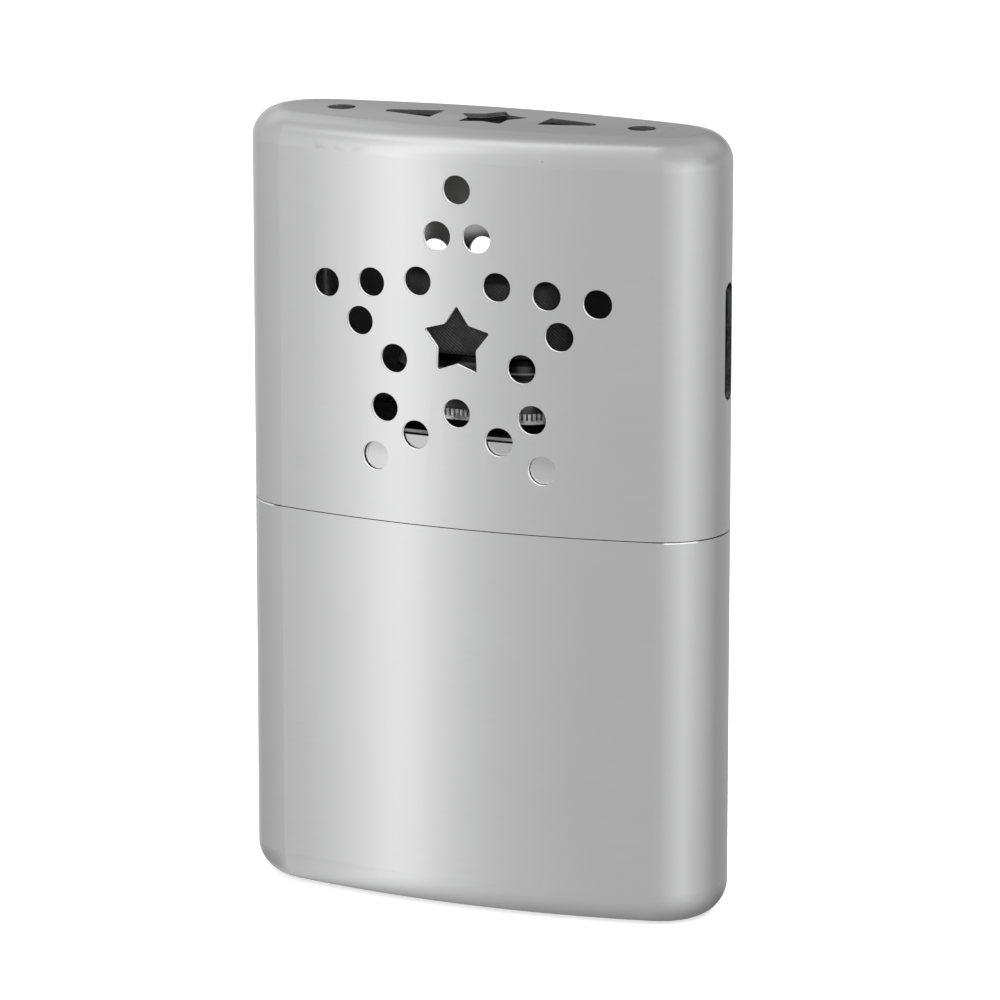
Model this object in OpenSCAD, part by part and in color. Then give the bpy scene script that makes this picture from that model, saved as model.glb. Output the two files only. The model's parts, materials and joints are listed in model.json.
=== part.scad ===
// Catalytic pocket hand warmer: pierced slip-on cap, fuel tank, and a lift-off burner.
// Millimetres. Origin at the centre of the base, +X along the wide face, +Y to the back, +Z up.

/* [Case] */
// Width across the wide face
case_w = 63.4; // [58:0.1:68]
// Thickness from front face to back face
case_t = 21.8; // [20:0.1:23.5]
// Height of the closed warmer
case_h = 100; // [94:0.5:108]
// Radius of the two bowed faces, seen from above
face_r = 117.5; // [105:0.5:140]
// Thickness of the drawn sheet metal
sheet = 0.55; // [0.4:0.05:0.8]
// Height of the joint line between tank and cap
seam_z = 49.9; // [46:0.1:54]
// Hairline left between cap rim and tank rim
seam_gap = 0.12; // [0.05:0.01:0.3]
// Rounding of the cap's top edge
cap_edge_r = 3.8; // [3:0.1:5]
// Rounding of the tank's bottom edge
base_edge_r = 4.4; // [3:0.1:5]

/* [Star of vents] */
// Distance of the middle of the star pattern below the top
star_drop = 26.4; // [25:0.1:28]
// Distance of the five tip vents from the middle
star_tip_r = 19.1; // [17:0.1:21]
// Distance of the five notch vents from the middle
star_notch_r = 9; // [8:0.1:10]
// Diameter of the round vents in the faces
vent_d = 3.7; // [3:0.1:4.2]
// Tip radius of the star cut in the middle of the front
centre_star_r = 4.65; // [3.5:0.05:5]
// Notch radius of the cut stars, as a share of the tip radius
star_waist = 0.59; // [0.45:0.01:0.7]
// Rounding of the tips of the cut stars
star_tip_round = 0.2; // [0.1:0.05:0.3]
// Rounding of the notches of the cut stars
star_notch_round = 0.5; // [0.2:0.05:0.8]

/* [Top vents] */
// Tip radius of the star in the top
top_star_r = 4.75; // [3.5:0.05:5]
// Diameter of the two outermost vents
top_vent_d = 3.5; // [2.5:0.1:4]
// Distance of the outermost vents from the middle
top_vent_x = 20.2; // [19.5:0.1:21]
// Where the wedge vents start, from the middle
wedge_x = 7.2; // [6.5:0.1:8]
// Length of the wedge vents
wedge_len = 6.9; // [5:0.1:8.5]
// Width of the wedge vents at their wide end
wedge_wide = 4.9; // [3:0.1:5.5]
// Width of the wedge vents at their narrow end
wedge_narrow = 1.9; // [1:0.1:2.4]

/* [Side slots] */
// Distance of the middle of the slot in each end below the top
slot_drop = 25.9; // [24:0.1:27]
// Offset of the slots from the middle plane towards the back
slot_y = 0.5; // [0:0.1:1]
// Length of the slots
slot_len = 14.8; // [8:0.1:17]
// Width of the slots
slot_w = 2.6; // [2:0.1:4]

/* [Neck and deck] */
// Height of the neck above the joint line
neck_rise = 11.3; // [9:0.1:13]
// Depth of the neck below the joint line
neck_drop = 9; // [6:0.5:14]
// Sheet thickness of the neck
neck_sheet = 0.4; // [0.3:0.05:0.6]
// Sliding clearance between cap and neck, each side
cap_clearance = 0.2; // [0.1:0.02:0.3]
// Sheet thickness of the deck that closes the tank
deck_sheet = 0.5; // [0.4:0.05:0.7]
// Depth of the deck's gutter below the neck's lip
gutter_depth = 0.7; // [0.4:0.05:1.2]
// Width of the gutter between neck and raised field
gutter_w = 2.4; // [1.8:0.1:3]
// Length of the deck's turned-down flange
deck_flange = 3; // [2:0.1:5]
// Rounding inside the deck's turned-down edge
deck_edge_r = 0.3; // [0.2:0.05:0.5]
// Rounding of the edge of the raised field
field_edge_r = 0.45; // [0.3:0.05:0.5]
// Clearance between pieces that are pressed together
press_gap = 0.05; // [0.02:0.01:0.1]

/* [Filler mouth] */
// Distance between the centres of the mouth's round ends
mouth_straight = 9.6; // [8:0.1:11]
// Outer radius of the mouth's round ends
mouth_r = 5; // [4.4:0.1:5.4]
// Sheet thickness of the mouth
mouth_sheet = 0.4; // [0.3:0.05:0.6]
// Height of the mouth above the raised deck
mouth_rise = 5.9; // [5:0.1:7]
// Depth of the mouth below the raised deck
mouth_drop = 3; // [2:0.1:5]
// Width of the mouth's flange on the deck
flange_w = 2; // [1:0.1:2.5]
// Depth of the wick below the mouth's lip
wick_recess = 0.8; // [0.3:0.1:2]

/* [Wadding] */
// Gap between the wadding and the tank
wadding_gap = 0.3; // [0.2:0.05:1]
// Headroom between the wadding and the lower end of the filler mouth
wadding_room = 1.85; // [0.5:0.05:6]
// Rounding of the wadding's bottom edge
wadding_edge_r = 2.4; // [1.5:0.1:3.5]

/* [Burner] */
// Outer radius of the burner's round ends
burner_r = 6.2; // [6:0.05:6.8]
// Sheet thickness of the burner
burner_sheet = 0.4; // [0.3:0.05:0.5]
// Height of the burner's foot above the raised deck
foot_rise = 1.6; // [0.8:0.1:2]
// Height of the metal skirt
skirt_h = 8.2; // [7:0.1:9]
// Height of the comb of teeth round the foot
comb_h = 1.3; // [1:0.1:2]
// Thickness of the comb
comb_t = 0.35; // [0.25:0.05:0.5]
// Distance from one tooth to the next
comb_pitch = 0.6; // [0.55:0.05:0.9]
// Width of the slot between two teeth
comb_slot = 0.28; // [0.2:0.02:0.36]
// Depth of the slots between the teeth
comb_slot_depth = 0.85; // [0.5:0.05:0.9]
// Height of the ring that holds the cloth
ring_h = 2.6; // [2:0.1:3.2]
// How far the ring stands proud of the skirt
ring_proud = 0.5; // [0.3:0.05:0.7]
// Height of the cloth dome above the skirt
dome_h = 9.4; // [8.4:0.1:10]
// Rounding of the dome's top edge
dome_edge_r = 2.2; // [2:0.1:3.5]
// Thickness of the catalyst cloth
cloth_t = 0.8; // [0.5:0.05:1]
// Thickness of the wire of the support hoops
wire_d = 0.7; // [0.5:0.05:0.9]
// Distance of each support hoop from the middle
hoop_x = 4.2; // [3:0.1:5]
// Gap between the fleece and the hoops
fleece_gap = 0.15; // [0.1:0.01:0.25]
// Thickness of the perforated floor under the cloth
floor_t = 0.4; // [0.3:0.05:0.6]
// Diameter of the floor's holes
floor_hole_d = 1.5; // [1:0.1:1.8]
// Distance between the floor's holes
floor_pitch = 2.6; // [2.4:0.1:3.2]
// Clearance of the burner over the lip of the mouth
seat_gap = 0.25; // [0.1:0.05:0.4]
// Thickness of the two grip springs
spring_t = 0.25; // [0.2:0.01:0.3]
// Width of the grip springs
spring_w = 7; // [5:0.5:9]
// Clearance of the grip springs to the mouth and to the skirt
spring_gap = 0.05; // [0.02:0.01:0.07]

/* [Hidden] */
$fn = 96;

// The case seen from above is two bowed faces joined by one round nose at each end.
half_w = case_w / 2;
half_t = case_t / 2;
nose_r = (2 * face_r * half_t - half_t * half_t - half_w * half_w) / (2 * (face_r - half_w));
nose_x = half_w - nose_r;
face_c = face_r - half_t;
face_phi = asin(nose_x / (face_r - nose_r));
mid_overlap = 0.5;
nose_inset = 0.02;

// Heights
neck_top = seam_z + neck_rise;
deck_z = neck_top - gutter_depth;
field_z = neck_top;
mouth_top = field_z + mouth_rise;
foot_z = field_z + foot_rise;
skirt_top = foot_z + skirt_h;
dome_top = skirt_top + dome_h;
floor_z = mouth_top + seat_gap;
wick_top = mouth_top - wick_recess;
wadding_z = sheet + wadding_gap;
mouth_bottom = field_z - mouth_drop;
wadding_top = mouth_bottom - wadding_room;
star_z = case_h - star_drop;
slot_z = case_h - slot_drop;

// Insets of the nested outlines from the outside of the case
neck_in = sheet + cap_clearance;
deck_in = neck_in + neck_sheet + press_gap;
field_in = deck_in + gutter_w;
wadding_in = deck_in + deck_sheet + wadding_gap;

// Burner
skirt_in_r = burner_r - burner_sheet;
hoop_in = cloth_t + press_gap + wire_d / 2;
hoop_r = skirt_in_r - hoop_in;
hoop_bend_r = dome_edge_r - hoop_in;
fleece_in = cloth_t + press_gap + wire_d + fleece_gap;
fleece_z = floor_z + floor_t + wire_d + fleece_gap;
arc_steps = 4;
cut = 1;

// ---------- outlines and shared shapes ----------

// Wall profile from radius r_in to r_out, its outer bottom corner rounded if edge_r isn't 0
module edge_profile(r_in, r_out, h, edge_r) {
    translate([r_in, edge_r])
        square([r_out - r_in, h - edge_r]);
    if (edge_r > 0) {
        translate([r_in, 0])
            square([r_out - edge_r - r_in, edge_r]);
        intersection() {
            translate([r_out - edge_r, edge_r])
                circle(edge_r);
            translate([r_out - edge_r, 0])
                square([edge_r, edge_r]);
        }
    }
}

// One bowed half of the case outline, inset by d, with a rounded bottom edge
module face_sector(d, h, edge_r) {
    translate([0, face_c, 0])
        rotate([0, 0, -90 - face_phi])
            rotate_extrude(angle = 2 * face_phi)
                edge_profile(face_c - mid_overlap, face_r - d, h, edge_r);
}

// The round nose at one end. It reaches into the bowed halves and lies a hair inside their
// surface all round, so that the parts of the outline always join.
module nose_round(d, h, edge_r) {
    translate([nose_x, 0, nose_inset])
        rotate_extrude()
            edge_profile(0, nose_r - d - nose_inset, h - 2 * nose_inset, max(edge_r - nose_inset, 0));
}

// Solid with the case outline inset by d; the bottom edge is rounded by edge_r
module case_solid(d, h, edge_r) {
    face_sector(d, h, edge_r);
    mirror([0, 1, 0])
        face_sector(d, h, edge_r);
    nose_round(d, h, edge_r);
    mirror([1, 0, 0])
        nose_round(d, h, edge_r);
}

// Drawn cup: case outline outside, sheet metal of thickness t, open at the top
module drawn_cup(d, h, edge_r, t) {
    difference() {
        case_solid(d, h, edge_r);
        translate([0, 0, t])
            case_solid(d + t, h, edge_r - t);
    }
}

// Straight sleeve with the case outline
module case_sleeve(d, z0, z1, t) {
    translate([0, 0, z0])
        difference() {
            case_solid(d, z1 - z0, 0);
            translate([0, 0, -cut])
                case_solid(d + t, z1 - z0 + 2 * cut, 0);
        }
}

// Obround: two round ends of radius r, with centres mouth_straight apart
module obround(r, h) {
    for (side = [-1, 1])
        translate([side * mouth_straight / 2, 0, 0])
            cylinder(r = r, h = h);
    translate([-mouth_straight / 2, -r, 0])
        cube([mouth_straight, 2 * r, h]);
}

module obround_ring(r, t, h) {
    difference() {
        obround(r, h);
        translate([0, 0, -cut])
            obround(r - t, h + 2 * cut);
    }
}

// Obround with its top edge rounded, like a loaf
module obround_dome(r, h, edge_r) {
    for (side = [-1, 1])
        translate([side * mouth_straight / 2, 0, 0])
            rotate([0, 0, -side * 90])
                rotate_extrude(angle = 180)
                    dome_profile(r, h, edge_r);
    for (side = [0, 1])
        mirror([0, side, 0])
            translate([-mouth_straight / 2, 0, 0])
                rotate([90, 0, 90])
                    linear_extrude(mouth_straight)
                        dome_profile(r, h, edge_r);
}

// Half profile of the loaf, from its middle line out
module dome_profile(r, h, edge_r) {
    square([r, h - edge_r]);
    translate([0, h - edge_r])
        square([r - edge_r, edge_r]);
    intersection() {
        translate([r - edge_r, h - edge_r])
            circle(edge_r);
        translate([r - edge_r, h - edge_r])
            square([edge_r, edge_r]);
    }
}

function star_points(tip_r, notch_r) = [
    for (k = [0:9])
        let (r = k % 2 == 0 ? tip_r : notch_r)
            [r * sin(36 * k), r * cos(36 * k)]
];

// Arc of radius r that rounds the corner "at" between its two neighbours
function corner_arc(before, at, after, r) =
    let (
        u = (before - at) / norm(before - at),
        v = (after - at) / norm(after - at),
        half = acos(u * v) / 2,
        middle = at + (u + v) / norm(u + v) * r / sin(half),
        first = at + u * r / tan(half) - middle,
        turn = (180 - 2 * half) * sign(cross(v, u))
    )
    [for (k = [0:arc_steps])
        let (a = turn * k / arc_steps)
            middle + [first[0] * cos(a) - first[1] * sin(a), first[0] * sin(a) + first[1] * cos(a)]];

// Outline of a cut star with rounded tips and notches
function cut_star(tip_r) =
    let (corner = star_points(tip_r, tip_r * star_waist))
    [for (k = [0:9])
        for (p = corner_arc(corner[(k + 9) % 10], corner[k], corner[(k + 1) % 10],
                            k % 2 == 0 ? star_tip_round : star_notch_round)) p];

// Middle points of the twenty round vents: tips, notches and the middles of the edges
function star_vents() =
    let (corner = star_points(star_tip_r, star_notch_r))
    [for (k = [0:9]) for (share = [0, 0.5]) corner[k] * (1 - share) + corner[(k + 1) % 10] * share];

// The two vents beside the burner's ends are in the front wall only, as no light shows behind them
FRONT_ONLY = [5, 15];
function in_both_walls(i) = i != FRONT_ONLY[0] && i != FRONT_ONLY[1];

// ---------- cap ----------

module face_vents() {
    vents = star_vents();
    for (i = [0:len(vents) - 1])
        translate([vents[i][0], 0, star_z + vents[i][1]])
            rotate([90, 0, 0])
                translate([0, 0, in_both_walls(i) ? -case_t : 0])
                    cylinder(d = vent_d, h = in_both_walls(i) ? 2 * case_t : case_t);
}

module centre_star() {
    translate([0, 0, star_z])
        rotate([90, 0, 0])
            linear_extrude(case_t)
                polygon(cut_star(centre_star_r));
}

module wedge_vent(depth) {
    end_x = wedge_x + wedge_len - wedge_narrow / 2;
    translate([end_x, 0, 0])
        cylinder(d = wedge_narrow, h = depth);
    linear_extrude(depth)
        polygon([
            [wedge_x, -wedge_wide / 2],
            [end_x, -wedge_narrow / 2],
            [end_x, wedge_narrow / 2],
            [wedge_x, wedge_wide / 2]
        ]);
}

module top_vents() {
    depth = 3 * sheet;
    translate([0, 0, case_h - 2 * sheet]) {
        linear_extrude(depth)
            polygon(cut_star(top_star_r));
        for (side = [0, 1])
            mirror([side, 0, 0]) {
                wedge_vent(depth);
                translate([top_vent_x, 0, 0])
                    cylinder(d = top_vent_d, h = depth);
            }
    }
}

module side_slots() {
    half_len = (slot_len - slot_w) / 2;
    for (side = [0, 1])
        mirror([side, 0, 0])
            translate([nose_x, slot_y, slot_z])
                rotate([0, 90, 0]) {
                    for (end = [-1, 1])
                        translate([end * half_len, 0, 0])
                            cylinder(d = slot_w, h = 2 * nose_r);
                    translate([-half_len, -slot_w / 2, 0])
                        cube([2 * half_len, slot_w, 2 * nose_r]);
                }
}

module cap_shell() {
    color("gainsboro")
        difference() {
            translate([0, 0, case_h])
                mirror([0, 0, 1])
                    drawn_cup(0, case_h - seam_z - seam_gap / 2, cap_edge_r, sheet);
            face_vents();
            centre_star();
            top_vents();
            side_slots();
        }
}

// ---------- tank ----------

module tank_shell() {
    color("gainsboro")
        drawn_cup(0, seam_z - seam_gap / 2, base_edge_r, sheet);
}

module neck_sleeve() {
    color("silver")
        case_sleeve(neck_in, seam_z - neck_drop, neck_top, neck_sheet);
}

// Pressed lid of the tank: turned-down flange, gutter and raised field
module tank_deck() {
    field_h = field_z - deck_z;
    color("silver")
        difference() {
            union() {
                translate([0, 0, deck_z])
                    mirror([0, 0, 1])
                        drawn_cup(deck_in, deck_flange, deck_edge_r + deck_sheet, deck_sheet);
                translate([0, 0, field_z])
                    mirror([0, 0, 1])
                        case_solid(field_in, field_h + deck_sheet / 2, field_edge_r);
            }
            translate([0, 0, deck_z - deck_sheet - cut])
                case_solid(field_in + deck_sheet, field_h + cut, 0);
            translate([0, 0, deck_z - deck_flange])
                obround(mouth_r + press_gap, deck_flange + field_h + cut);
        }
}

// Oval filler tube with a flange that lies on the deck
module filler_mouth() {
    color("silver") {
        translate([0, 0, mouth_bottom])
            obround_ring(mouth_r, mouth_sheet, mouth_drop + mouth_rise);
        translate([0, 0, field_z])
            obround_ring(mouth_r + flange_w, flange_w + mouth_sheet / 2, mouth_sheet);
    }
}

module wick_plug() {
    color("ivory")
        translate([0, 0, wadding_top])
            obround(mouth_r - mouth_sheet - 2 * press_gap, wick_top - wadding_top);
}

module cotton_wadding() {
    color("white")
        translate([0, 0, wadding_z])
            case_solid(wadding_in, wadding_top - wadding_z, wadding_edge_r);
}

// ---------- burner ----------

module burner_skirt() {
    color("gray")
        translate([0, 0, foot_z])
            obround_ring(burner_r, burner_sheet, skirt_h);
}

// Comb of upright teeth round the foot of the skirt
module foot_comb() {
    comb_r = burner_r + press_gap + comb_t;
    straight_n = floor(mouth_straight / comb_pitch);
    round_n = floor(180 / (comb_pitch / comb_r * 180 / PI));
    slot_z0 = comb_h - comb_slot_depth;
    color("lightgray")
        translate([0, 0, foot_z])
            difference() {
                obround_ring(comb_r, comb_t, comb_h);
                for (k = [0:straight_n - 1])
                    translate([(k - (straight_n - 1) / 2) * comb_pitch, 0, slot_z0 + comb_h / 2])
                        cube([comb_slot, 3 * comb_r, comb_h], center = true);
                for (side = [0, 1])
                    mirror([side, 0, 0])
                        for (k = [0:round_n - 1])
                            translate([mouth_straight / 2, 0, slot_z0])
                                rotate([0, 0, (k + 0.5) * 180 / round_n - 90])
                                    translate([comb_r / 2, -comb_slot / 2, 0])
                                        cube([comb_r, comb_slot, comb_h]);
            }
}

// Rolled ring that clamps the edge of the cloth on the skirt
module cloth_ring() {
    ring_in = burner_r + press_gap;
    color("dimgray")
        translate([0, 0, skirt_top - ring_h])
            obround_ring(ring_in + ring_proud, ring_proud, ring_h);
}

// Perforated plate across the skirt, which rests on the lip of the mouth
module burner_floor() {
    columns = floor((mouth_straight + skirt_in_r) / floor_pitch);
    rows = floor(1.5 * skirt_in_r / floor_pitch);
    color("silver")
        translate([0, 0, floor_z])
            difference() {
                obround(skirt_in_r - press_gap, floor_t);
                for (i = [0:columns - 1])
                    for (j = [0:rows - 1])
                        translate([(i - (columns - 1) / 2) * floor_pitch,
                                   (j - (rows - 1) / 2) * floor_pitch, -cut])
                            cylinder(d = floor_hole_d, h = floor_t + 2 * cut);
            }
}

// Two bowed leaf springs that grip the mouth from front and back
module grip_springs() {
    spring_h = floor_z - foot_z - 2 * press_gap;
    bow = skirt_in_r - mouth_r - spring_t - 2 * spring_gap;
    bow_r = (bow * bow + spring_h * spring_h / 4) / (2 * bow);
    bow_y = mouth_r + spring_gap + bow_r;
    color("goldenrod")
        for (side = [0, 1])
            mirror([0, side, 0])
                intersection() {
                    translate([-spring_w / 2, mouth_r, foot_z + press_gap])
                        cube([spring_w, skirt_in_r - mouth_r - spring_gap, spring_h]);
                    translate([-spring_w / 2, bow_y, foot_z + press_gap + spring_h / 2])
                        rotate([0, 90, 0])
                            difference() {
                                cylinder(r = bow_r, h = spring_w);
                                translate([0, 0, -cut])
                                    cylinder(r = bow_r - spring_t, h = spring_w + 2 * cut);
                            }
                }
}

// Two wire arches that keep the cloth in shape: legs, bends and a straight crown
module support_hoops() {
    hoop_top = dome_top - hoop_in;
    hoop_foot = floor_z + floor_t;
    bend_z = hoop_top - hoop_bend_r;
    bend_y = hoop_r - hoop_bend_r;
    color("silver")
        for (side = [-1, 1])
            translate([side * hoop_x, 0, 0]) {
                for (leg = [0, 1])
                    mirror([0, leg, 0]) {
                        translate([0, hoop_r, hoop_foot])
                            cylinder(d = wire_d, h = bend_z - hoop_foot);
                        translate([0, bend_y, bend_z])
                            rotate([90, 0, 90])
                                rotate_extrude(angle = 90)
                                    translate([hoop_bend_r, 0])
                                        circle(d = wire_d);
                    }
                translate([0, bend_y, hoop_top])
                    rotate([90, 0, 0])
                        cylinder(d = wire_d, h = 2 * bend_y);
            }
}

module catalyst_fleece() {
    fleece_h = dome_top - fleece_in - fleece_z;
    color("darkgray")
        translate([0, 0, fleece_z])
            obround_dome(skirt_in_r - fleece_in, fleece_h, dome_edge_r - fleece_in);
}

module catalyst_cloth() {
    color("dimgray")
        translate([0, 0, skirt_top])
            difference() {
                obround_dome(burner_r, dome_h, dome_edge_r);
                translate([0, 0, -cut])
                    obround_dome(skirt_in_r - cloth_t, dome_h - cloth_t + cut, dome_edge_r - cloth_t);
            }
}

// ---------- assembly ----------

tank_shell();
neck_sleeve();
tank_deck();
filler_mouth();
wick_plug();
cotton_wadding();
cap_shell();
burner_skirt();
foot_comb();
cloth_ring();
burner_floor();
grip_springs();
support_hoops();
catalyst_fleece();
catalyst_cloth();
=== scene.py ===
# %% [markdown]
# # A pocket warmer with a catalytic burner
#
# The real thing is a flat metal case. A pierced cap slips over the neck of a fuel tank, and under
# the cap a small burner sits on the filler mouth. The imported model already has every rigid piece
# in its true shape and place. This lesson adds what a CAD file can't hold: the satin plating, the
# painted shade inside the cap, the woven catalyst cloth, the cotton, and the light of a small photo
# studio.

import json
import math

import bmesh
import bpy
from mathutils import Matrix, Vector, noise

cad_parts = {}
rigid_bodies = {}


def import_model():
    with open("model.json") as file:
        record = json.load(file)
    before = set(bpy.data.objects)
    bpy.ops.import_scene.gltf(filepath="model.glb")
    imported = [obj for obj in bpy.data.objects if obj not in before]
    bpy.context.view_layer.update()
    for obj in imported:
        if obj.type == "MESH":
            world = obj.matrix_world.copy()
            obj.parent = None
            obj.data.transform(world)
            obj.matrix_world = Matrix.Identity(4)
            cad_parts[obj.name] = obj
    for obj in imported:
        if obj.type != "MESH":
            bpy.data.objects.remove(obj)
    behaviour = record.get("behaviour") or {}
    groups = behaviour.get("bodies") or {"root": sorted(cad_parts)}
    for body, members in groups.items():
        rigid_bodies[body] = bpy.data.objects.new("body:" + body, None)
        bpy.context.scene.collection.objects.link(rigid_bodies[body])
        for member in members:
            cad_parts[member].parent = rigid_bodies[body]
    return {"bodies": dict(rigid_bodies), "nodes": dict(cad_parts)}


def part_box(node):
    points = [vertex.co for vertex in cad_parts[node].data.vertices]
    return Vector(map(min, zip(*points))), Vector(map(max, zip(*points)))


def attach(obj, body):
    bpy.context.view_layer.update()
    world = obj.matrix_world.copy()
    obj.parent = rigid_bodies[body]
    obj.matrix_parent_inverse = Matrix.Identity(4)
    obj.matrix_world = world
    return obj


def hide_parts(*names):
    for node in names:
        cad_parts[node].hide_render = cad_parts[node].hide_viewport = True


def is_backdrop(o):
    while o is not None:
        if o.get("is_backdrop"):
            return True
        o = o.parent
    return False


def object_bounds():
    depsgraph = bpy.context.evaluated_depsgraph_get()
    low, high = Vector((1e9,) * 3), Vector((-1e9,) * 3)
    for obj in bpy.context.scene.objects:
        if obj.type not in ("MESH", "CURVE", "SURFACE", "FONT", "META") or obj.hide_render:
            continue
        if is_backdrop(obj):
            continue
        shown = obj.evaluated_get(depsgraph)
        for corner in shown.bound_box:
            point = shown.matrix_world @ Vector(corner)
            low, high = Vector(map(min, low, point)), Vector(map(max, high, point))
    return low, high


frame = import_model()
cad_low, cad_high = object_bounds()
nodes = frame["nodes"]
bodies = sorted(frame["bodies"])
print(f"{len(nodes)} nodes on the bodies {bodies}, {cad_high.z * 1000:.1f} mm tall")

# %% [markdown]
# ## Sizes that the pieces and finishes share
#
# Everything in Blender is in metres. A pocket object is easier to think about in millimetres, so
# sizes are written as a number times MM. Finishes work in plain millimetres, because in_mm below
# hands them their coordinates that way, so the sizes of the case are kept as plain numbers. The
# case outline is two bowed faces joined by a round nose at each end, and the burner is an
# obround: two round ends with a straight stretch between them.

# %% Shared sizes
MM = 0.001
FACE_R = 117.5  # radius of the bowed faces, in mm
HALF_W, HALF_T = 31.7, 10.9  # half the case's width and thickness
FACE_C = FACE_R - HALF_T  # from the middle plane to the centre of a face's bow
NOSE_R = (2 * FACE_R * HALF_T - HALF_T**2 - HALF_W**2) / (2 * (FACE_R - HALF_W))
NOSE_X = HALF_W - NOSE_R
FACE_TURN = math.asin(NOSE_X / (FACE_R - NOSE_R))  # half the arc of a face
CAP_TOP, TANK_RIM, BURNER_TOP, FIELD_TOP = 100.0, 49.9, 81.0, 61.2  # heights
CAP_EDGE, BASE_EDGE = 3.8, 4.4  # rounding of the two closed ends
STRAIGHT = 9.6 * MM  # between the burner's round ends
MERGE = 0.004 * MM  # vertices nearer than this are one
half_face = math.degrees(FACE_TURN)
print(f"nose radius {NOSE_R:.2f} mm at x {NOSE_X:.2f} mm, half face {half_face:.1f} degrees")

# %% [markdown]
# ## The camera stands where the photographer stood
#
# A camera could be placed by eye and nudged until it looks right. Here its turn, tilt, distance
# and focal length come from fitting the outline and the vents, so that each vent falls on the
# same pixel. The lens is long, because a product photographer steps back to keep the sides
# parallel.

# %% Camera
turn, tilt = 0.3958, 0.2350  # radians to the right of straight in front, and down from level
focal, picture = 6199.7, 1000  # focal length and picture width, in pixels
off_right, off_up, off_back = 1.2 * MM, 1.1624 * MM, 780.765 * MM  # from the middle of the case
look = Vector((-math.sin(turn) * math.cos(tilt), math.cos(turn) * math.cos(tilt), -math.sin(tilt)))
right = Vector((math.cos(turn), math.sin(turn), 0))
upward = right.cross(look)
lens = bpy.data.cameras.new("photographer")
lens.sensor_width = 36
lens.lens = focal / picture * lens.sensor_width
lens.clip_start = 0.01
camera = bpy.data.objects.new("photographer", lens)
middle = Vector((0, 0, CAP_TOP / 2 * MM))
camera.location = middle + off_right * right + off_up * upward - off_back * look
camera.rotation_euler = Matrix((right, upward, -look)).transposed().to_euler()
bpy.context.scene.collection.objects.link(camera)
bpy.context.scene.camera = camera
print(f"camera at {[round(c, 3) for c in camera.location]} m, lens {lens.lens:.0f} mm")

# %% [markdown]
# ## A small language for finishes
#
# A finish is a network of nodes. It could be wired by hand in the Shader Editor, but a formula
# such as 1 - mask * 0.3 reads better as a formula. Flow wraps one socket and turns Python's
# operators into Math nodes. Bench is the workbench that holds one tree: its add method makes any
# node, sets its settings first, and then its sockets.


# %% Flow
class Flow:
    """A number or a colour on its way between nodes."""

    def __init__(self, bench, socket):
        self.bench, self.socket = bench, socket

    def __add__(self, other):
        return self.bench.maths("ADD", self, other)

    def __mul__(self, other):
        return self.bench.maths("MULTIPLY", self, other)

    def __sub__(self, other):
        return self.bench.maths("SUBTRACT", self, other)

    def __rsub__(self, other):
        return self.bench.maths("SUBTRACT", other, self)

    def __truediv__(self, other):
        return self.bench.maths("DIVIDE", self, other)

    def __pow__(self, other):
        return self.bench.maths("POWER", self, other)

    def __abs__(self):
        return self.bench.maths("ABSOLUTE", self)

    __radd__, __rmul__ = __add__, __mul__


print("Flow turns formulas into Math nodes")


# %% Bench
class Bench:
    """One node tree, and the ways to add to it."""

    def __init__(self, tree):
        self.tree = tree

    def add(self, kind, settings=None, values=None, out=0):
        node = self.tree.nodes.new(kind)
        for name, value in (settings or {}).items():
            if name == "stops":
                ramp = node.color_ramp
                while len(ramp.elements) < len(value):
                    ramp.elements.new(1)
                for element, (place, tone) in zip(ramp.elements, value):
                    element.position = place
                    element.color = (tone, tone, tone, 1)
            elif name == "blend":
                node.color_ramp.interpolation = value
            else:
                setattr(node, name, value)
        for key, value in (values or {}).items():
            self.put(node.inputs[key], value)
        return Flow(self, node.outputs[out])

    def put(self, socket, value):
        if isinstance(value, Flow):
            self.tree.links.new(value.socket, socket)
        else:
            socket.default_value = value

    def maths(self, operation, *values):
        return self.add("ShaderNodeMath", {"operation": operation}, dict(enumerate(values)))

    def split(self, vector):
        parts = self.add("ShaderNodeSeparateXYZ", None, {0: vector}).socket.node
        return [Flow(self, parts.outputs[axis]) for axis in range(3)]

    def join(self, x, y, z):
        return self.add("ShaderNodeCombineXYZ", None, {0: x, 1: y, 2: z})

    def stretch(self, vector, factor):
        values = {0: vector, "Scale": factor}
        return self.add("ShaderNodeVectorMath", {"operation": "SCALE"}, values)

    def step(self, value, low, high):
        """0 up to low and 1 from high on, with a smooth rise between them."""
        smooth = {"interpolation_type": "SMOOTHSTEP"}
        return self.add("ShaderNodeMapRange", smooth, {0: value, 1: low, 2: high})

    def mix(self, share, first, second):
        """The first colour where share is 0 and the second where it is 1."""
        paint = [(*c, 1) if isinstance(c, tuple) else c for c in (first, second)]
        values = {0: share, 6: paint[0], 7: paint[1]}
        return self.add("ShaderNodeMix", {"data_type": "RGBA"}, values, out=2)

    def grain(self, where, scale, detail=2.0, rough=0.5):
        """Soft random values about 0.5, at that many features for each unit of where."""
        values = {"Vector": where, "Scale": scale, "Detail": detail, "Roughness": rough}
        return self.add("ShaderNodeTexNoise", None, values)

    def level_lines(self, x, y, z, per_mm):
        """Grain drawn out level, as brushing and wiping leave it."""
        return self.grain(self.join(x * 0.3, y * 0.3, z * per_mm), 1.0, 3.0, 0.6)

    def bump(self, height, strength, distance):
        values = {"Strength": strength, "Distance": distance, "Height": height}
        return self.add("ShaderNodeBump", None, values)


print("Bench adds nodes to one tree")


# %% Helpers for every finish
def between(share, first, second):
    """As mix, for numbers."""
    return first + (second - first) * share


def grey(tone):
    return (tone, tone, tone)


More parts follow.
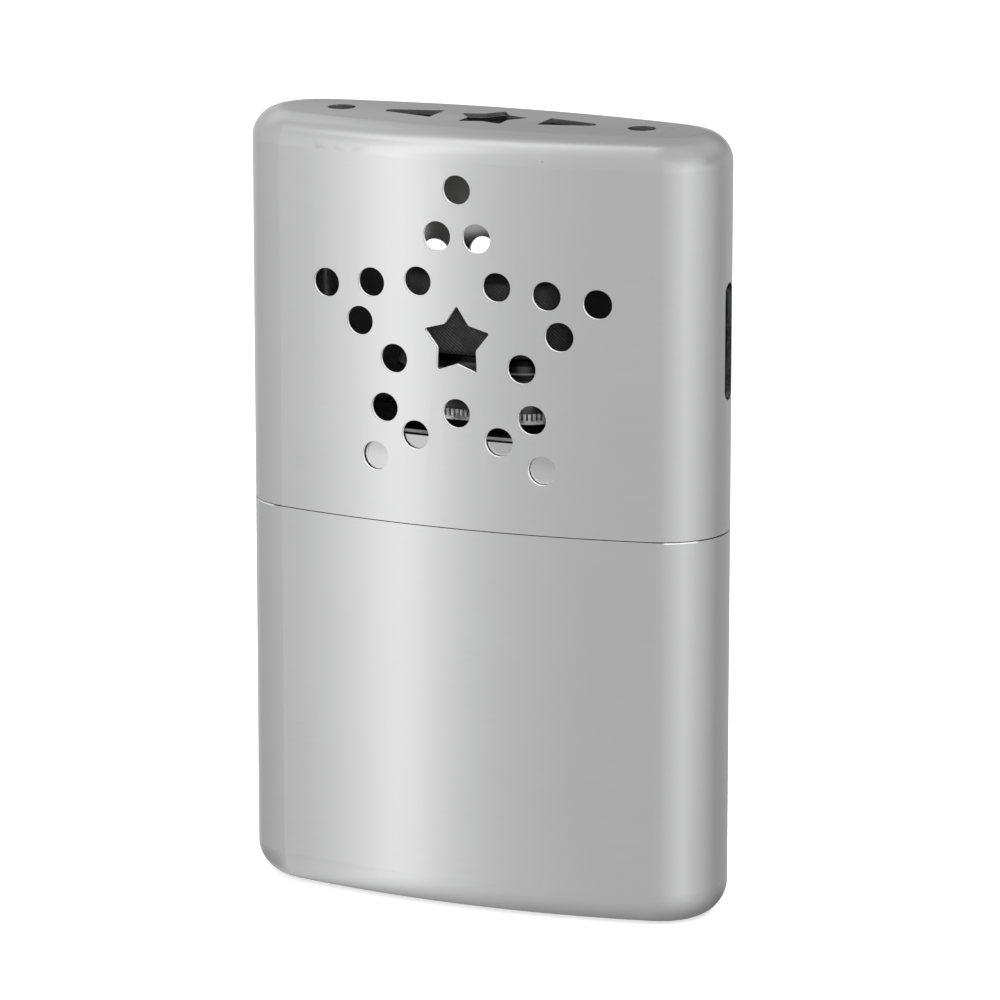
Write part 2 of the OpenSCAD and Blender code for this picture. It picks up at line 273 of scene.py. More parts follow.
def finish(name, **constants):
    """A new material, its bench and its shader, with the constant sockets set."""
    material = bpy.data.materials.new(name)
    material.use_nodes = True
    bench = Bench(material.node_tree)
    shader = material.node_tree.nodes["Principled BSDF"]
    for socket, value in constants.items():
        shader.inputs[socket.replace("_", " ")].default_value = value
    return material, bench, shader


def in_mm(bench):
    """Object coordinates in millimetres, as a vector and as three numbers."""
    place = bench.add("ShaderNodeTexCoord", None, None, out="Object")
    scaled = bench.stretch(place, 1 / MM)
    return scaled, bench.split(scaled)


print("between, grey, finish and in_mm are ready")

# %% [markdown]
# ## Satin plate, with painted shade inside
#
# Cap and tank are drawn from sheet, brushed along the case and then plated. Brushing leaves lines
# so fine that the eye sees only their effect: reflections smear up and down and stay sharp from
# side to side. One way to get that is thousands of bumps, which sparkle and cost time. The
# shader's anisotropy gives the smear itself, and faint streaks in tone and roughness give the
# grain.
#
# The inside of the cap never sees a polishing wheel. Inside cap and tank the colour is painted
# darker as shade, in the cap a touch darker beside the burner than above it. The cut edges of the
# vents are not polished either: a punch leaves them grainy and bright, so they scatter light where
# the faces mirror it. One material can do all three, because the depth under the outer surface
# follows from the outline: a circle for each face, a circle for each nose, and the rounding of the
# edge. The tank's rim has one mark more: a painted glint, a bright stretch of the rim at both
# noses.


# %% Depth under the case's outer surface
def depth_in_case(bench, x, y, below, edge_r):
    """How far a point lies under the outer surface. below is how far it is from the closed end."""
    across, back = abs(x), abs(y)
    face = FACE_R - (across * across + (back + FACE_C) ** 2) ** 0.5
    nose = NOSE_R - ((across - NOSE_X) ** 2 + back * back) ** 0.5
    on_nose = bench.maths("GREATER_THAN", across, FACE_R * math.sin(FACE_TURN))
    wall = between(on_nose, face, nose)
    inward = bench.maths("MAXIMUM", edge_r - wall, 0)
    downward = bench.maths("MAXIMUM", edge_r - below, 0)
    return edge_r - (inward * inward + downward * downward) ** 0.5


print("depth_in_case is ready")

# %% Satin plate for cap and tank
CUT_DEPTH, INSIDE_DEPTH = (0.06, 0.11), (0.46, 0.54)  # where a cut edge and the inside begin
BELOW_EDGE, PAST_VENTS = 0.4, (47, 48)  # the stretch with vents, in mm from the closed end
# the painted glint: a bright stretch of the tank's rim near both noses, in x from the middle
GLINT_NEAR, GLINT_FAR, GLINT_FADE = NOSE_X + 2.9, NOSE_X + 6.4, 0.4  # in x from the middle
GLINT_DEPTH = 0.24  # how far down the rim the painted glint reaches


def satin_plate(name, closed_end, edge_r, inside_shade_low, inside_shade_high, inside_rough, glint_from=None):
    """Plate for one cup of the case. Its inside is painted darker as shade, beside the burner and
    above it.

    glint_from is the height from which the rim carries a painted glint.
    """
    material, bench, shader = finish(name, Anisotropic=0.65, Anisotropic_Rotation=0.25)
    place, (x, y, z) = in_mm(bench)
    below = abs(z - closed_end)
    depth = depth_in_case(bench, x, y, below, edge_r)
    inside = bench.step(depth, *INSIDE_DEPTH)
    vented = bench.step(below, edge_r, edge_r + BELOW_EDGE) * (1 - bench.step(below, *PAST_VENTS))
    vented = vented * (1 - bench.step(abs(x), NOSE_X - 1, NOSE_X))
    cut = bench.step(depth, *CUT_DEPTH) * (1 - inside) * vented
    # painted glint: a bright stretch of the tank's rim, added to the cut-edge mask
    if glint_from:
        rim_glint = bench.step(z, glint_from, glint_from + 0.06)
        rim_glint = rim_glint * bench.step(abs(x), GLINT_NEAR, GLINT_NEAR + GLINT_FADE)
        rim_glint = rim_glint * (1 - bench.step(abs(x), GLINT_FAR, GLINT_FAR + GLINT_FADE))
        cut = cut + rim_glint * (1 - inside) * 0.8

    streak = bench.level_lines(x, y, z, 6.0)
    cloud = bench.grain(place, 0.09, 2.0)
    cell = bench.add("ShaderNodeTexVoronoi", None, {"Vector": place, "Scale": 0.17})
    chosen = bench.split(Flow(bench, cell.socket.node.outputs["Color"]))[0]
    speck = (1 - bench.step(cell, 0.010, 0.022)) * bench.maths("GREATER_THAN", chosen, 0.62)

    tone = 0.985 + (streak - 0.5) * 0.05 + (cloud - 0.5) * 0.03
    clean = bench.join(tone * 0.735, tone * 0.735, tone * 0.738)
    punched = bench.mix(cut, bench.mix(speck * 0.5, clean, grey(0.2)), grey(0.92))
    # painted shade: the inside darker than the outside, one tone beside the burner and one above it
    away = bench.step(z, BURNER_TOP - 1, BURNER_TOP + 6)
    inside_shade = bench.mix(away, inside_shade_low, inside_shade_high)
    bench.put(shader.inputs["Base Color"], bench.mix(inside, punched, inside_shade))
    bench.put(shader.inputs["Metallic"], 1 - cut * 0.8 - inside * (0.05 + away * 0.1))
    rough = 0.215 + (streak - 0.5) * 0.025 + (cloud - 0.5) * 0.04 + cut * 0.3
    bench.put(shader.inputs["Roughness"], between(inside, rough, inside_rough))
    return material


# the two tones after the edge rounding are the painted shade inside, beside the burner and above it
cap_finish = satin_plate(
    "cap satin plate", CAP_TOP, CAP_EDGE, (0.55, 0.547, 0.545), (0.56, 0.555, 0.55), 0.13
)
tank_finish = satin_plate(
    "tank satin plate", 0.0, BASE_EDGE, grey(0.30), grey(0.30), 0.40, TANK_RIM - GLINT_DEPTH
)
print("satin plate for", cap_finish.name, "and", tank_finish.name)

# %% [markdown]
# ## Bright plate, darkened steel and brass
#
# The neck is satin like the case, without its specks, and with painted shade near its top. The
# comb is bright in patches. The deck, the filler mouth and the burner's skirt, hoops and floor have
# been hot for years: steel turns grey, and the plate is nearly black, heat stain together with
# painted shade under the burner. The edge of the deck's raised field carries a painted highlight.
# The springs are brass. All of these are one recipe, soft clouds of a second tone with fine rubbed
# lines, and a band is a stretch of height painted darker as shade or lighter as a highlight.


# %% Plain metals
def worn_metal(name, tone, tint, roughness, spread, lines, painted_bands=(), clouds=0.35, metallic=1.0):
    """Metal whose tone drifts to a tint in soft clouds, with rubbed lines that run level.

    Each band is (lowest z, highest z, fade, tone, how metallic) of a stretch painted darker as
    shade or lighter as a highlight, in mm. clouds is how many clouds there are in a millimetre.
    """
    material, bench, shader = finish(
        name, Metallic=metallic, Anisotropic=0.4, Anisotropic_Rotation=0.25
    )
    place, (x, y, z) = in_mm(bench)
    cloud = bench.grain(place, clouds, 3.0)
    rub = bench.level_lines(x, y, z, 7.0)
    colour = bench.mix(bench.step(cloud + (rub - 0.5) * 0.3, 0.42, 0.68), tone, tint)
    metal = metallic
    # each band paints shade or a highlight over its stretch of height
    for low, high, fade, painted_tone, band_metal in painted_bands:
        painted = bench.step(z, low, low + fade) * (1 - bench.step(z, high - fade, high))
        colour = bench.mix(painted, colour, painted_tone)
        metal = metal - painted * (metallic - band_metal)
    if painted_bands:
        bench.put(shader.inputs["Metallic"], metal)
    bench.put(shader.inputs["Base Color"], colour)
    bench.put(shader.inputs["Roughness"], roughness + (cloud - 0.5) * spread + (rub - 0.5) * spread)
    bench.put(shader.inputs["Normal"], bench.bump(rub, lines, 0.02 * MM))
    return material


print("worn_metal is ready")

# %% The metals of this warmer
# the first tone is heat stain together with painted shade: the plate under the burner nearly black
STAIN_AND_SHADE, STEEL = (0.045, 0.044, 0.043), (0.20, 0.197, 0.195)
# painted shade: the neck darker towards its top, under the cap
neck_top_shade = (57.5, 64.0, 2.5, grey(0.58), 1.0)
# painted highlight: a bright, less metallic band on the edge of the deck's raised field
field_edge_highlight = (FIELD_TOP - 0.5, FIELD_TOP - 0.02, 0.1, grey(0.5), 0.45)
neck_satin = worn_metal(
    "neck satin plate", (0.715, 0.715, 0.718), grey(0.68), 0.26, 0.05, 0.03, [neck_top_shade]
)
darkened = worn_metal("heat darkened steel", STEEL, (0.12, 0.118, 0.125), 0.42, 0.14, 0.08)
stain_and_shade = worn_metal("heat stained plate", STAIN_AND_SHADE, (0.02, 0.019, 0.019), 0.45, 0.16, 0.08)
deck_plate = worn_metal("stained deck", STAIN_AND_SHADE, (0.02, 0.019, 0.019), 0.40, 0.10, 0.05, [field_edge_highlight])
comb_plate = worn_metal(
    "comb plate", grey(0.95), grey(0.34), 0.34, 0.06, 0.03, clouds=1.1, metallic=0.45
)
brass = worn_metal("spring brass", (0.74, 0.57, 0.30), (0.55, 0.40, 0.20), 0.28, 0.12, 0.10)
plain_metals = (neck_satin, darkened, stain_and_shade, deck_plate, comb_plate, brass)
print("plain metals:", ", ".join(metal.name for metal in plain_metals))

# %% [markdown]
# ## Dress the rigid pieces
#
# A rigid node keeps its mesh, because its shape is already right. Its material slots are cleared
# and the finish goes in. Nothing is moved.

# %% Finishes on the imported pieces
dressing = {
    "cap_shell": cap_finish,
    "tank_shell": tank_finish,
    "neck_sleeve": neck_satin,
    "tank_deck": deck_plate,
    "filler_mouth": stain_and_shade,
    "burner_skirt": darkened,
    "foot_comb": comb_plate,
    "burner_floor": darkened,
    "grip_springs": brass,
    "support_hoops": darkened,
}
for name, material in dressing.items():
    nodes[name].data.materials.clear()
    nodes[name].data.materials.append(material)
print("dressed", ", ".join(dressing))

# %% [markdown]
# ## One sweep for every loaf-shaped piece
#
# The cloth, its ring, the fleece and the wick all follow the burner's obround outline. Each could
# be cut from a block, but the real ones are bent or wound round the outline, and a sweep does the
# same. A profile is drawn as edges in the plane of the right-hand round end, spun half a turn
# about that end, drawn along the straight, spun about the other end and drawn back. Merging the
# doubles closes the seam where the sweep meets its start.


# %% The sweep
def weld(bm):
    bmesh.ops.remove_doubles(bm, verts=bm.verts, dist=MERGE)


def new_piece(name, bm):
    """Closes the bmesh into an object at the origin, with smooth faces that point outwards."""
    weld(bm)
    bmesh.ops.dissolve_degenerate(bm, edges=bm.edges, dist=MERGE)
    bmesh.ops.recalc_face_normals(bm, faces=bm.faces)
    for face in bm.faces:
        face.smooth = True
    mesh = bpy.data.meshes.new(name)
    bm.to_mesh(mesh)
    bm.free()
    piece = bpy.data.objects.new(name, mesh)
    bpy.context.scene.collection.objects.link(piece)
    return piece


def draw_profile(bm, points, at_x, closed):
    """Edges through (radius, height) points, standing in front of the round end at at_x."""
    verts = [bmesh.ops.create_vert(bm, co=(at_x, -r, z))["vert"][0] for r, z in points]
    pairs = list(zip(verts, verts[1:])) + ([(verts[-1], verts[0])] if closed else [])
    return verts + [bm.edges.new(pair) for pair in pairs]


def spin_on(bm, moving, centre, angle, steps):
    """Spins edges about an upright axis, and gives the edges where they end up."""
    return bmesh.ops.spin(
        bm, geom=moving, cent=centre, axis=(0, 0, 1), angle=angle, steps=steps, use_merge=False
    )["geom_last"]


def sweep_obround(bm, points, closed=False, round_steps=36, straight_steps=18):
    """Sweeps the profile once round the obround outline."""
    moving = draw_profile(bm, points, STRAIGHT / 2, closed)
    for side in (1, -1):
        moving = spin_on(bm, moving, (side * STRAIGHT / 2, 0, 0), math.pi, round_steps)
        for _ in range(straight_steps):
            edges = [g for g in moving if isinstance(g, bmesh.types.BMEdge)]
            moving = bmesh.ops.extrude_edge_only(bm, edges=edges)["geom"]
            verts = [g for g in moving if isinstance(g, bmesh.types.BMVert)]
            bmesh.ops.translate(bm, verts=verts, vec=(-side * STRAIGHT / straight_steps, 0, 0))


def loaf_profile(radius, bottom, top, edge_r, rise=10, steps=10, inward=6):
    """From the foot up the wall, round the edge and in to the spine."""
    wall_top = top - edge_r
    wall = [(radius, bottom + (wall_top - bottom) * k / rise) for k in range(rise)]
    bend = [
        (radius - edge_r + edge_r * math.cos(a), wall_top + edge_r * math.sin(a))
        for a in (math.pi / 2 * k / steps for k in range(steps + 1))
    ]
    crown = [((radius - edge_r) * (1 - k / inward), top) for k in range(1, inward + 1)]
    return wall + bend + crown


print("the sweep is ready")

# %% [markdown]
# ## The catalyst cloth
#
# Glass-fibre cloth, grey-black from its catalyst, is stretched over two wire hoops and clamped
# round its edge. A cloth simulation could drape it, but the real one is pulled tight, so what
# shows is small: it sags a little between the hoops, it puckers at the round ends, where a flat
# sheet has to go round a corner, and nowhere does it lie quite true. The sweep gives the tight
# form, each vertex then moves in by those three effects, and a Solidify modifier gives the
# thickness. Its own UV map holds the weave, measured along the cloth before it moves.

# %% Lengths along the cloth
cloth_low, cloth_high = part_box("catalyst_cloth")
CLOTH_R, CLOTH_EDGE, CLOTH_THICK, HOOP_X = 6.2 * MM, 1.3 * MM, 0.7 * MM, 4.2 * MM
LOAF_R, LOAF_TOP = CLOTH_R - 0.05 * MM, cloth_high.z - 0.1 * MM
SAG, PUCKER, SLACK = 0.14 * MM, 0.10 * MM, 0.06 * MM  # the most that each moves the cloth
ROUND_TRIP = 2 * STRAIGHT + 2 * math.pi * CLOTH_R


def along_and_up(co):
    """Arc length round the loaf from its front middle, and arc length up from the cloth's foot."""
    inner = Vector((max(-STRAIGHT / 2, min(STRAIGHT / 2, co.x)), 0))
    spread = Vector((co.x, co.y)) - inner
    angle = math.atan2(spread.x, -spread.y) if spread.length > 1e-9 else 0.0
    if co.y < 0:
        along = inner.x + CLOTH_R * angle
    else:
        side = 1 if angle >= 0 else -1
        along = side * (STRAIGHT / 2 + CLOTH_R * abs(angle) + STRAIGHT / 2 - side * inner.x)
    over = max(0.0, co.z - (LOAF_TOP - CLOTH_EDGE))
    bend = math.asin(min(1.0, over / CLOTH_EDGE))
    up = co.z - over - cloth_low.z + CLOTH_EDGE * bend
    if co.z > LOAF_TOP - 0.01 * MM:
        up += max(0.0, LOAF_R - CLOTH_EDGE - spread.length)
    return along, up


print(f"the cloth's loaf is {2 * LOAF_R / MM:.1f} mm thick, its top at {LOAF_TOP / MM:.1f} mm")

# %% Cloth, stretched over the hoops
bm = bmesh.new()
sweep_obround(bm, loaf_profile(LOAF_R, cloth_low.z + 0.02 * MM, LOAF_TOP, CLOTH_EDGE))
weld(bm)
bmesh.ops.recalc_face_normals(bm, faces=bm.faces)
unrolled = {vert: along_and_up(vert.co) for vert in bm.verts}
for vert in bm.verts:
    along = unrolled[vert][0]
    height = (vert.co.z - cloth_low.z) / (cloth_high.z - cloth_low.z)
    off_hoop = (1 - math.cos((abs(vert.co.x) - HOOP_X) / HOOP_X * math.pi)) / 2
    at_end = min(1, max(0.0, abs(vert.co.x) / (STRAIGHT / 2) - 0.9) * 2)
    sag = SAG * off_hoop * min(1, height * 1.5)
    pucker = PUCKER * math.sin(along / MM * 4.1) * at_end * (1 - height) ** 1.5
    slack = SLACK * (noise.noise(vert.co / MM * 0.45) - 0.3)
    vert.co -= vert.normal * max(0.0, sag + pucker + PUCKER * at_end * (1 - height) - slack)
weave = bm.loops.layers.uv.new("weave")
for face in bm.faces:
    centre = along_and_up(face.calc_center_median())[0]
    for loop in face.loops:
        along, up = unrolled[loop.vert]
        along += ROUND_TRIP * round((centre - along) / ROUND_TRIP)
        loop[weave].uv = (along / MM, up / MM)
cloth_area = sum(face.calc_area() for face in bm.faces)
burner_cloth = new_piece("burner_cloth", bm)
thickness = burner_cloth.modifiers.new("cloth thickness", "SOLIDIFY")
thickness.thickness = CLOTH_THICK
thickness.offset = -1
print(f"burner_cloth: {len(burner_cloth.data.polygons)} faces, {cloth_area * 1e6:.0f} square mm")

# %% [markdown]
# The weave is a twill: fine slanting ribs, each a yarn that passes over two others. Two sets of
# ribs cross, and one set lies on top of the other in a slow checker, which is what makes twill
# look slanted. Ribs this fine go in the bump and the tone, not in the mesh. In slow patches the
# weave is clogged, and the crown is painted nearly black as shade.


# %% Finish of the cloth
def twill(name, tone, light, pitch, crown):
    """Woven ribs from tone to light, pitch mm apart, with painted shade from the height crown
    upwards.
    """
    material, bench, shader = finish(name, Roughness=0.85, Specular_IOR_Level=0.12)
    cover = bench.add("ShaderNodeUVMap", {"uv_map": "weave"})
    u, v, _ = bench.split(cover)
    wander = bench.grain(cover, 0.8, 2.0)
    slant = (u * 0.8 + v) / pitch + wander * 0.5
    cross = (u * 0.8 - v) / pitch
    rib = abs(bench.maths("SINE", slant * math.pi))
    yarn = abs(bench.maths("SINE", cross * math.pi * 0.5 + slant * math.pi * 0.25))
    fibre = bench.grain(bench.join(slant * 1.0, cross * 6.0, 0.0), 3.0, 2.0)
    height = rib * 0.75 + yarn * 0.25 * rib
    shade = height * 0.75 + fibre * 0.35
    patch = 0.2 + bench.step(bench.grain(cover, 0.25, 2.0), 0.42, 0.58) * 0.8
    clogged = 0.40 + (bench.grain(cover, 5.0, 2.0) - 0.5) * 0.7
    worked = bench.mix(between(patch, clogged, shade), tone, light)
    # painted shade: the crown darkened towards the dark tone
    crown_shade = bench.step(v, crown - 1.1, crown) * 0.65
    bench.put(shader.inputs["Base Color"], bench.mix(crown_shade, worked, tone))
    bench.put(shader.inputs["Normal"], bench.bump(height + fibre * 0.2, 0.9, 0.06 * MM))
    return material


CROWN = (LOAF_TOP - cloth_low.z - CLOTH_EDGE + CLOTH_EDGE * math.pi / 2) / MM
burner_cloth.data.materials.append(
    twill("catalyst twill", (0.005, 0.005, 0.006), (0.096, 0.095, 0.097), 0.42, CROWN)
)
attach(burner_cloth, "burner")
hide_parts("catalyst_cloth")
up_and_over = 2 * (CROWN * MM + LOAF_R - CLOTH_EDGE)
CLOTH_CUT = (up_and_over, up_and_over + STRAIGHT)
min(cloth_area, CLOTH_CUT[0] * CLOTH_CUT[1])
cut_x, cut_y = (side / MM for side in CLOTH_CUT)
print(f"the cloth is cut to {cut_x:.1f} by {cut_y:.1f} mm with its corners off")

# %% [markdown]
# ## The ring that clamps the cloth
#
# The ring is a strip bent round the skirt and bowed outwards, most of all near its foot, so that
# its edges don't cut the cloth. A plain band would show as one flat tone. The bow catches one
# soft line of light, so the profile is a closed loop with a bowed outer side. Painted shade makes
# the ring's upper part nearly black, and a painted highlight runs round the bow under it.

# %% Clamp ring
ring_low, ring_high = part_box("cloth_ring")
RING_IN, RING_EDGE, RING_OUT = 6.25 * MM, 6.40 * MM, 6.75 * MM
BOW_SKEW, BOW_FULL = 0.42, 0.7  # below 1, they lower the bow's fullest line and widen it


def bowed_band(inner, edge, outer, low, high, steps=14):
    """Profile of a band that is bowed out from edge to outer."""
    bow = []
    for k in range(steps + 1):
        swell = math.sin(math.pi * (k / steps) ** BOW_SKEW) ** BOW_FULL
        bow.append((edge + (outer - edge) * swell, low + (high - low) * k / steps))
    return [(inner, low)] + bow + [(inner, high)]


bm = bmesh.new()
band = bowed_band(RING_IN, RING_EDGE, RING_OUT, ring_low.z, ring_high.z)
sweep_obround(bm, band, closed=True, straight_steps=4)
cloth_clamp = new_piece("cloth_clamp", bm)
ring_foot, ring_top = ring_low.z / MM, ring_high.z / MM
# painted shade on the ring's upper part, and a painted highlight low on the bow
shade_and_highlight = [
    (ring_top - 0.95, ring_top + 0.5, 0.25, grey(0.012), 1.0),
    (ring_foot + 0.62, ring_foot + 1.05, 0.2, grey(0.27), 0.5),
]
ring_steel = worn_metal(
    "sooted ring steel", (0.13, 0.128, 0.126), (0.10, 0.098, 0.1), 0.34, 0.05, 0.0, shade_and_highlight
)
cloth_clamp.data.materials.append(ring_steel)
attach(cloth_clamp, "burner")
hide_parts("cloth_ring")
print(f"cloth_clamp: {len(cloth_clamp.data.polygons)} faces")

# %% [markdown]
# ## Fleece, wick and wadding
#
# Three soft fillings hide in the warmer. The fleece under the cloth carries the catalyst. The
# wick stands in the filler mouth and shows when the burner is off. The wadding fills the tank and
# holds the fuel. They could be left as plain blocks, since little of them is seen, but a model
# that opens should be right inside. Each is a closed form from the sweep, swollen and dented by
# slow noise, as fibre that was pushed in by hand is.


# %% Finish of loose fibre
def loose_fibre(name, tone, shadow, size):
    """Tangled strands of that relative size: one noise pulled about by another."""
    material, bench, shader = finish(name, Roughness=0.95, Sheen_Weight=0.4, Sheen_Roughness=0.6)
    place, _ = in_mm(bench)
    tangle = bench.grain(place, 2.2 / size, 5.0, 0.65)
    pull = bench.stretch(Flow(bench, tangle.socket.node.outputs["Color"]), 1.5)
    pulled = bench.add("ShaderNodeVectorMath", {"operation": "ADD"}, {0: place, 1: pull})
    strand = 1 - abs(bench.grain(pulled, 3.5 / size, 3.0, 0.6) - 0.5) * 5.0
    fluff = bench.maths("MAXIMUM", strand, 0.0) * 0.6 + tangle * 0.4
    bench.put(shader.inputs["Base Color"], bench.mix(fluff, shadow, tone))
    bench.put(shader.inputs["Normal"], bench.bump(fluff, 0.8, 0.1 * MM))
    return material


cotton = loose_fibre("cotton", (0.86, 0.85, 0.82), (0.55, 0.53, 0.50), 1.0)
glass_fleece = loose_fibre("catalyst fleece", (0.20, 0.20, 0.21), (0.05, 0.05, 0.052), 0.6)


def dent(bm, depth, scale):
    """Pushes the vertices in by slow noise, never out of the space that the solid holds."""
    bmesh.ops.recalc_face_normals(bm, faces=bm.faces)
    bm.normal_update()
    for vert in bm.verts:
        vert.co -= vert.normal * depth * (0.5 + 0.5 * noise.noise(vert.co / MM * scale))


print("fibre finishes:", cotton.name, "and", glass_fleece.name)


# %% Fleece and wick
def fibre_loaf(name, node, radius, edge_r, depth, scale, body, material, slot, fill):
    """A closed loaf of fibre in the place of a CAD node. A flat sweep inwards closes its foot."""
    low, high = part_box(node)
    sole = [(radius * k / 4, low.z) for k in range(4)]
    profile = sole + loaf_profile(radius, low.z, high.z, edge_r)
    bm = bmesh.new()
    sweep_obround(bm, profile, round_steps=24, straight_steps=12)
    weld(bm)
    dent(bm, depth, scale)
    piece = new_piece(name, bm)
    piece.data.materials.append(material)
    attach(piece, body)
    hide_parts(node)
    print(f"{name}: {len(piece.data.polygons)} faces, top at {high.z / MM:.1f} mm")


fleece_form, wick_form = (4.1 * MM, 0.9 * MM, 0.3 * MM, 0.9), (4.5 * MM, 1.2 * MM, 0.35 * MM, 0.8)
fibre_loaf(
    "fleece_pad", "catalyst_fleece", *fleece_form, "burner", glass_fleece, "catalyst_fibre", 0.7
)
fibre_loaf("wick_cotton", "wick_plug", *wick_form, "tank", cotton, "cotton", 0.8)


# %% Wadding
def sweep_case(bm, points, nose_steps=28, face_steps=24):
    """Sweeps a profile of (inset from the outside, height) once round the case outline."""
    start = FACE_TURN - math.pi / 2
    outward = Vector((math.cos(start), math.sin(start), 0))
    verts = []
    for inset, z in points:
        place = Vector((NOSE_X * MM, 0, z)) + outward * (NOSE_R * MM - inset)
        verts.append(bmesh.ops.create_vert(bm, co=place)["vert"][0])
    moving = verts + [bm.edges.new(pair) for pair in zip(verts, verts[1:])]
    for side in (1, -1):
        for centre, angle, steps in (
            ((side * NOSE_X * MM, 0, 0), math.pi - 2 * FACE_TURN, nose_steps),
            ((0, -side * FACE_C * MM, 0), 2 * FACE_TURN, face_steps),
        ):
            moving = spin_on(bm, moving, centre, angle, steps)


pack_low, pack_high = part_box("cotton_wadding")
bottom, top = pack_low.z, pack_high.z
inset, corner = HALF_W * MM - pack_high.x, 2.4 * MM
bend_steps, wall_steps = 6, 30
foot = [(inset + 4.5 * MM, bottom), (inset + corner, bottom)]
turn_up = [
    (inset + corner * (1 - math.sin(a)), bottom + corner * (1 - math.cos(a)))
    for a in (math.pi / 2 * k / bend_steps for k in range(1, bend_steps + 1))
]
rise = top - bottom - 2 * corner
wall = [(inset, bottom + corner + rise * k / wall_steps) for k in range(1, wall_steps + 1)]
turn_in = [(i, bottom + top - z) for i, z in reversed(foot + turn_up)][1:]
bm = bmesh.new()
sweep_case(bm, foot + turn_up + wall + turn_in)
weld(bm)
rims = [edge for edge in bm.edges if edge.is_boundary]
half_way = (bottom + top) / 2
lower_rim = [edge for edge in rims if edge.verts[0].co.z < half_way]
upper_rim = [edge for edge in rims if edge.verts[0].co.z > half_way]
for rim in (lower_rim, upper_rim):
    bmesh.ops.triangle_fill(bm, use_beauty=True, use_dissolve=False, edges=rim)
dent(bm, 0.7 * MM, 0.16)
wadding = new_piece("tank_cotton", bm)
wadding.data.materials.append(cotton)
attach(wadding, "tank")
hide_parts("cotton_wadding")
print(f"tank_cotton: {len(wadding.data.polygons)} faces, boundary edges closed")

# %% [markdown]
# ## Floor
#
# The photograph is a cut-out on white. A disc of pale paper does the same job and still gives the
# warmer something to stand on. The floor is left out of glossy reflections, as a photographer
# does with a raised glass table, so the plating mirrors only the studio. It lies a hair lower
# than the case, because two faces in one plane flicker.

# %% Floor
bm = bmesh.new()
FLOOR_R, HAIR = 3.0, 0.02 * MM
bmesh.ops.create_circle(bm, cap_ends=True, segments=96, radius=FLOOR_R)
floor_mesh = bpy.data.meshes.new("floor")
bm.to_mesh(floor_mesh)
bm.free()
floor = bpy.data.objects.new("floor", floor_mesh)
bpy.context.scene.collection.objects.link(floor)
floor_paper, bench, shader = finish("floor paper", Roughness=0.9, Emission_Strength=0.42)
shader.inputs["Base Color"].default_value = (*grey(0.86), 1)
shader.inputs["Emission Color"].default_value = (1, 1, 1, 1)
floor_mesh.materials.append(floor_paper)
floor.location.z = -HAIR
floor.visible_glossy = False
floor.visible_diffuse = False
floor.visible_shadow = False
floor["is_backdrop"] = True
print(f"a round paper floor of {2 * FLOOR_R:.0f} m")

# %% [markdown]
# ## Light
#
# Plate shows the room, so the room is what gets designed. It could be built from cards and lamps,
# but as a formula of direction each panel's place and edge is one number. Three rows of panels
# stand round the case. The walls give the upright bands: a tall bright panel to the left of the
# lens, a weaker one to the right, and grey between. The row overhead gives the glint along the
# cap's rounded top edge, and the table is a darker copy of the walls for the tank's rounded foot.
# What lies behind the case shows only in its flat top. dx, dy and dz are the parts of a
# direction, from -1 to 1. A turn of 0 is towards the front and +90 to the right.
#
# Scattering surfaces, such as the cloth, the cotton and the punched edges, need real lamps. Four
# softboxes light those. The plate doesn't mirror them, or each would leave a hot square on it.

# %% Directions and rows of panels
world = bpy.data.worlds.new("studio")
bpy.context.scene.world = world
world.use_nodes = True
sky = Bench(world.node_tree)
direction = sky.add("ShaderNodeTexCoord", None, None, out="Generated")
dx, dy, dz = sky.split(direction)


def at(degrees):
    """A turn as a place in a row, from 0 to 1."""
    return degrees / 360 + 0.5


def turned(side, front):
    """The place in a row of a direction with those two parts."""
    return sky.maths("ARCTAN2", side, front) / (2 * math.pi) + 0.5


def panel_row(panels, where):
    """A row of panels and gaps, given as (turn, tone) pairs, read at that place."""
    stops = [(at(degrees), tone) for degrees, tone in panels]
    return sky.add("ShaderNodeValToRGB", {"blend": "LINEAR", "stops": stops}, {0: where})


print("panel_row is ready")

# %% The room
wall_panels = [
    (-180, 0.42), (-145, 0.61), (-112, 0.52), (-88, 0.57), (-59, 0.62), (-47, 0.66),
    (-37, 0.95), (-31, 1.27), (-25, 0.89), (-18, 0.68), (-5, 0.58), (14, 0.59),
    (43, 0.78), (58, 0.89), (89, 0.68), (126, 0.41), (165, 0.46),
]
overhead_panels = [
    (-180, 0.55), (-90, 0.56), (-68, 0.68), (-58, 0.90), (-49, 1.20), (-41, 1.08),
    (-20, 0.74), (8, 0.58), (90, 0.62),
]
LEVEL = -0.227  # dz of what the upright sides mirror towards the lens
LOWEST, STEADY = -0.32, 0.057  # dz where the walls stop darkening, and how far over LEVEL they rise
ACROSS = 0.95  # about 1 - LEVEL squared, what dx and dy share in such a direction
BACK_DARK, BACK_LIGHT = 0.34, 0.60

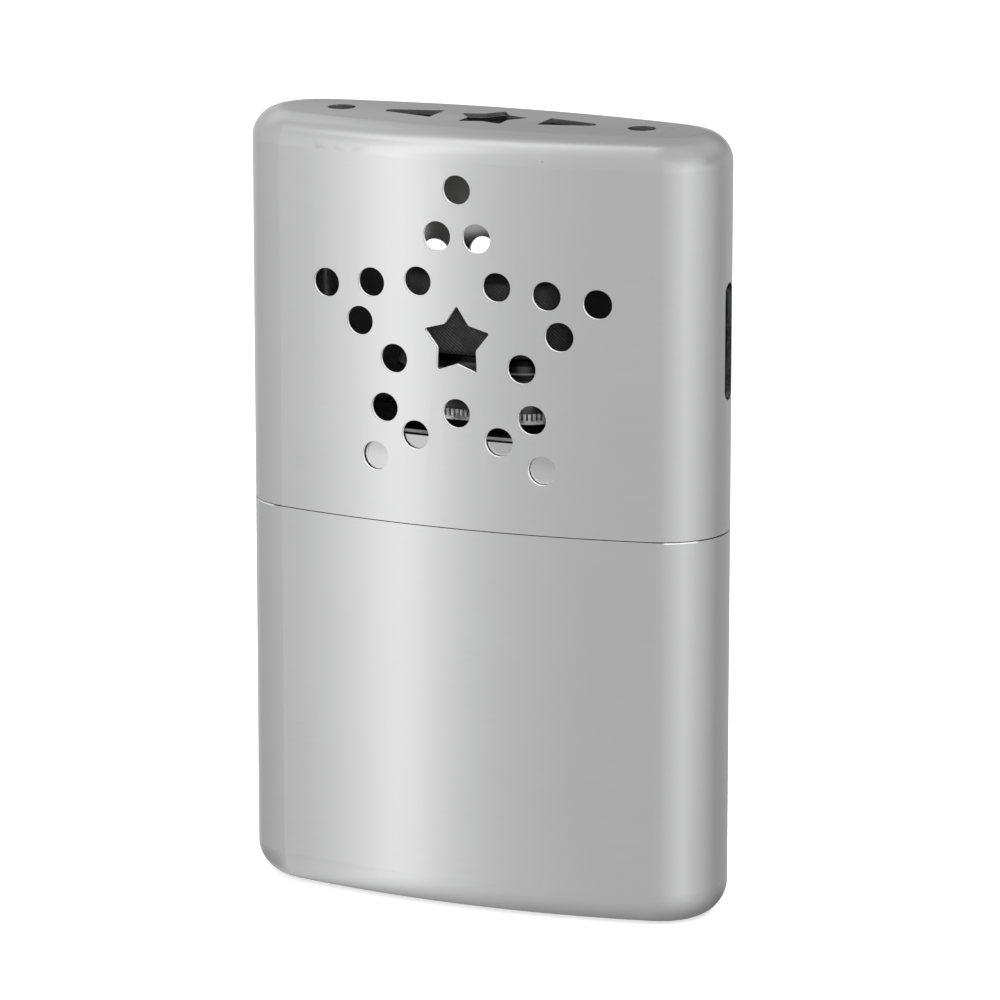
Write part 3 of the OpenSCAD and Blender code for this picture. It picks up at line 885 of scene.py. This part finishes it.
azimuth = turned(dx, 0 - dy)
drop = sky.maths("MAXIMUM", dz, LOWEST) - LEVEL
slope = 1 + sky.maths("MINIMUM", drop, STEADY) + sky.maths("MINIMUM", drop, 0.0)
walls = panel_row(wall_panels, azimuth) * slope
overhead = panel_row(overhead_panels, azimuth)
sideways = turned(dx, sky.maths("MAXIMUM", ACROSS - dx * dx, 0.01) ** 0.5)
table = panel_row(wall_panels, sideways) * (0.66 - dy * 0.36)
back = sky.maths("MAXIMUM", 0.37 - (dx + 0.375) * 2.2, BACK_DARK)
back = sky.maths("MINIMUM", back, BACK_LIGHT)
back = back + sky.step(dz, 0.28, 0.60) * 0.12 + sky.step(dx, 0.0, 0.4) * 0.08

from_right = sky.step(azimuth, at(10), at(50))
above = sky.step(dz, 0.60 - from_right * 0.60, 0.72)
behind = sky.step(dy, -0.20, 0.30) * sky.step(dz, 0.0, 0.2)
under = 1 - sky.step(dz, -0.5, -0.27)
room = between(under, between(behind, between(above, walls, overhead), back), table)
background = world.node_tree.nodes["Background"]
sky.put(background.inputs["Color"], room)
background.inputs["Strength"].default_value = 1.0
print(f"walls of {len(wall_panels)} panels and {len(overhead_panels)} overhead")


# %% Softboxes
def softbox(name, place, aim, size, power):
    """A lamp that lights what scatters and that the plate doesn't mirror."""
    light = bpy.data.lights.new(name, "AREA")
    light.shape = "RECTANGLE"
    light.size, light.size_y = size
    light.energy = power
    box = bpy.data.objects.new(name, light)
    box.location = place
    box.rotation_euler = (Vector(aim) - Vector(place)).to_track_quat("-Z", "Y").to_euler()
    box.visible_glossy = False
    bpy.context.scene.collection.objects.link(box)


softbox("front softbox", (-0.55, -0.75, 0.85), (0, 0, 0.06), (0.7, 0.5), 3.0)
softbox("top softbox", (0.15, 0.1, 1.1), (0, 0, 0.05), (0.9, 0.9), 4.0)
softbox("side softbox", (0.60, -0.44, 0.82), (0, 0, 0.07), (0.3, 0.3), 9.0)
softbox("fill by the lens", (0.32, -0.80, 0.30), (0, 0, 0.07), (0.25, 0.25), 3.0)
bpy.context.scene.view_settings.view_transform = "Standard"
print("four softboxes")

# %% [markdown]
# ## Sizes and the end
#
# Both boxes are printed: the CAD model's and the dressed model's. The dressed model has to
# stay in the box of the CAD model.

# %% Print the two boxes
low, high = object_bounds()
for label, size in (("CAD box", cad_high - cad_low), ("visual box", high - low)):
    print(label, [round(c / MM, 2) for c in size], "mm")
